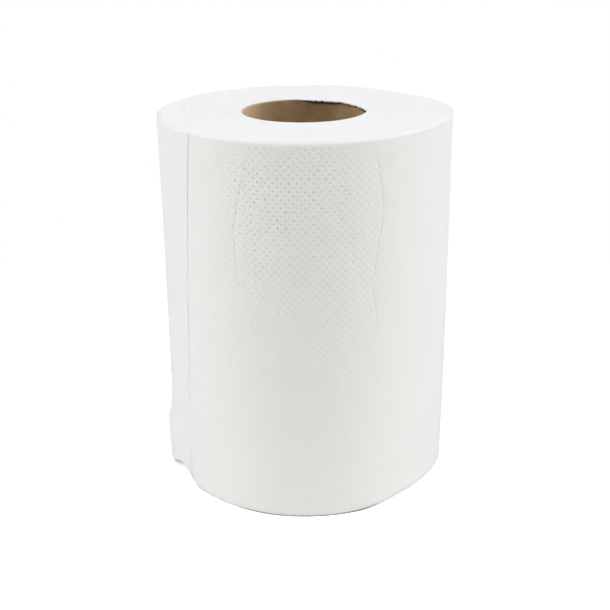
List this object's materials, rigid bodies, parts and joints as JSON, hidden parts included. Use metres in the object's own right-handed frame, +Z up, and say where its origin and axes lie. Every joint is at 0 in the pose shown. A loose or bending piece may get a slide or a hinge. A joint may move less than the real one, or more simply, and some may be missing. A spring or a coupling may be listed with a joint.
{
  "type": "paper towel roll",
  "caption": "Roll of white embossed paper towel wound on a brown cardboard core, standing on its end, with a free tail edge and an open bore.",
  "frame": {"origin": "centre of the core's bore at the face that the roll stands on", "axes": "+Z up the core's axis, along the roll's height; the pictured front faces -Y and the paper's free edge lies at the front left, towards -X -Y"},
  "size_m": [0.1419, 0.1395, 0.18],
  "materials": {
    "embossed_paper": "matt white two-ply tissue with small pressed dots",
    "core_board": "raw brown greyboard, spiral wound"
  },
  "bodies": {
    "root": {"paper_winding": "embossed_paper", "cardboard_core": "core_board"}
  },
  "joints": []
}
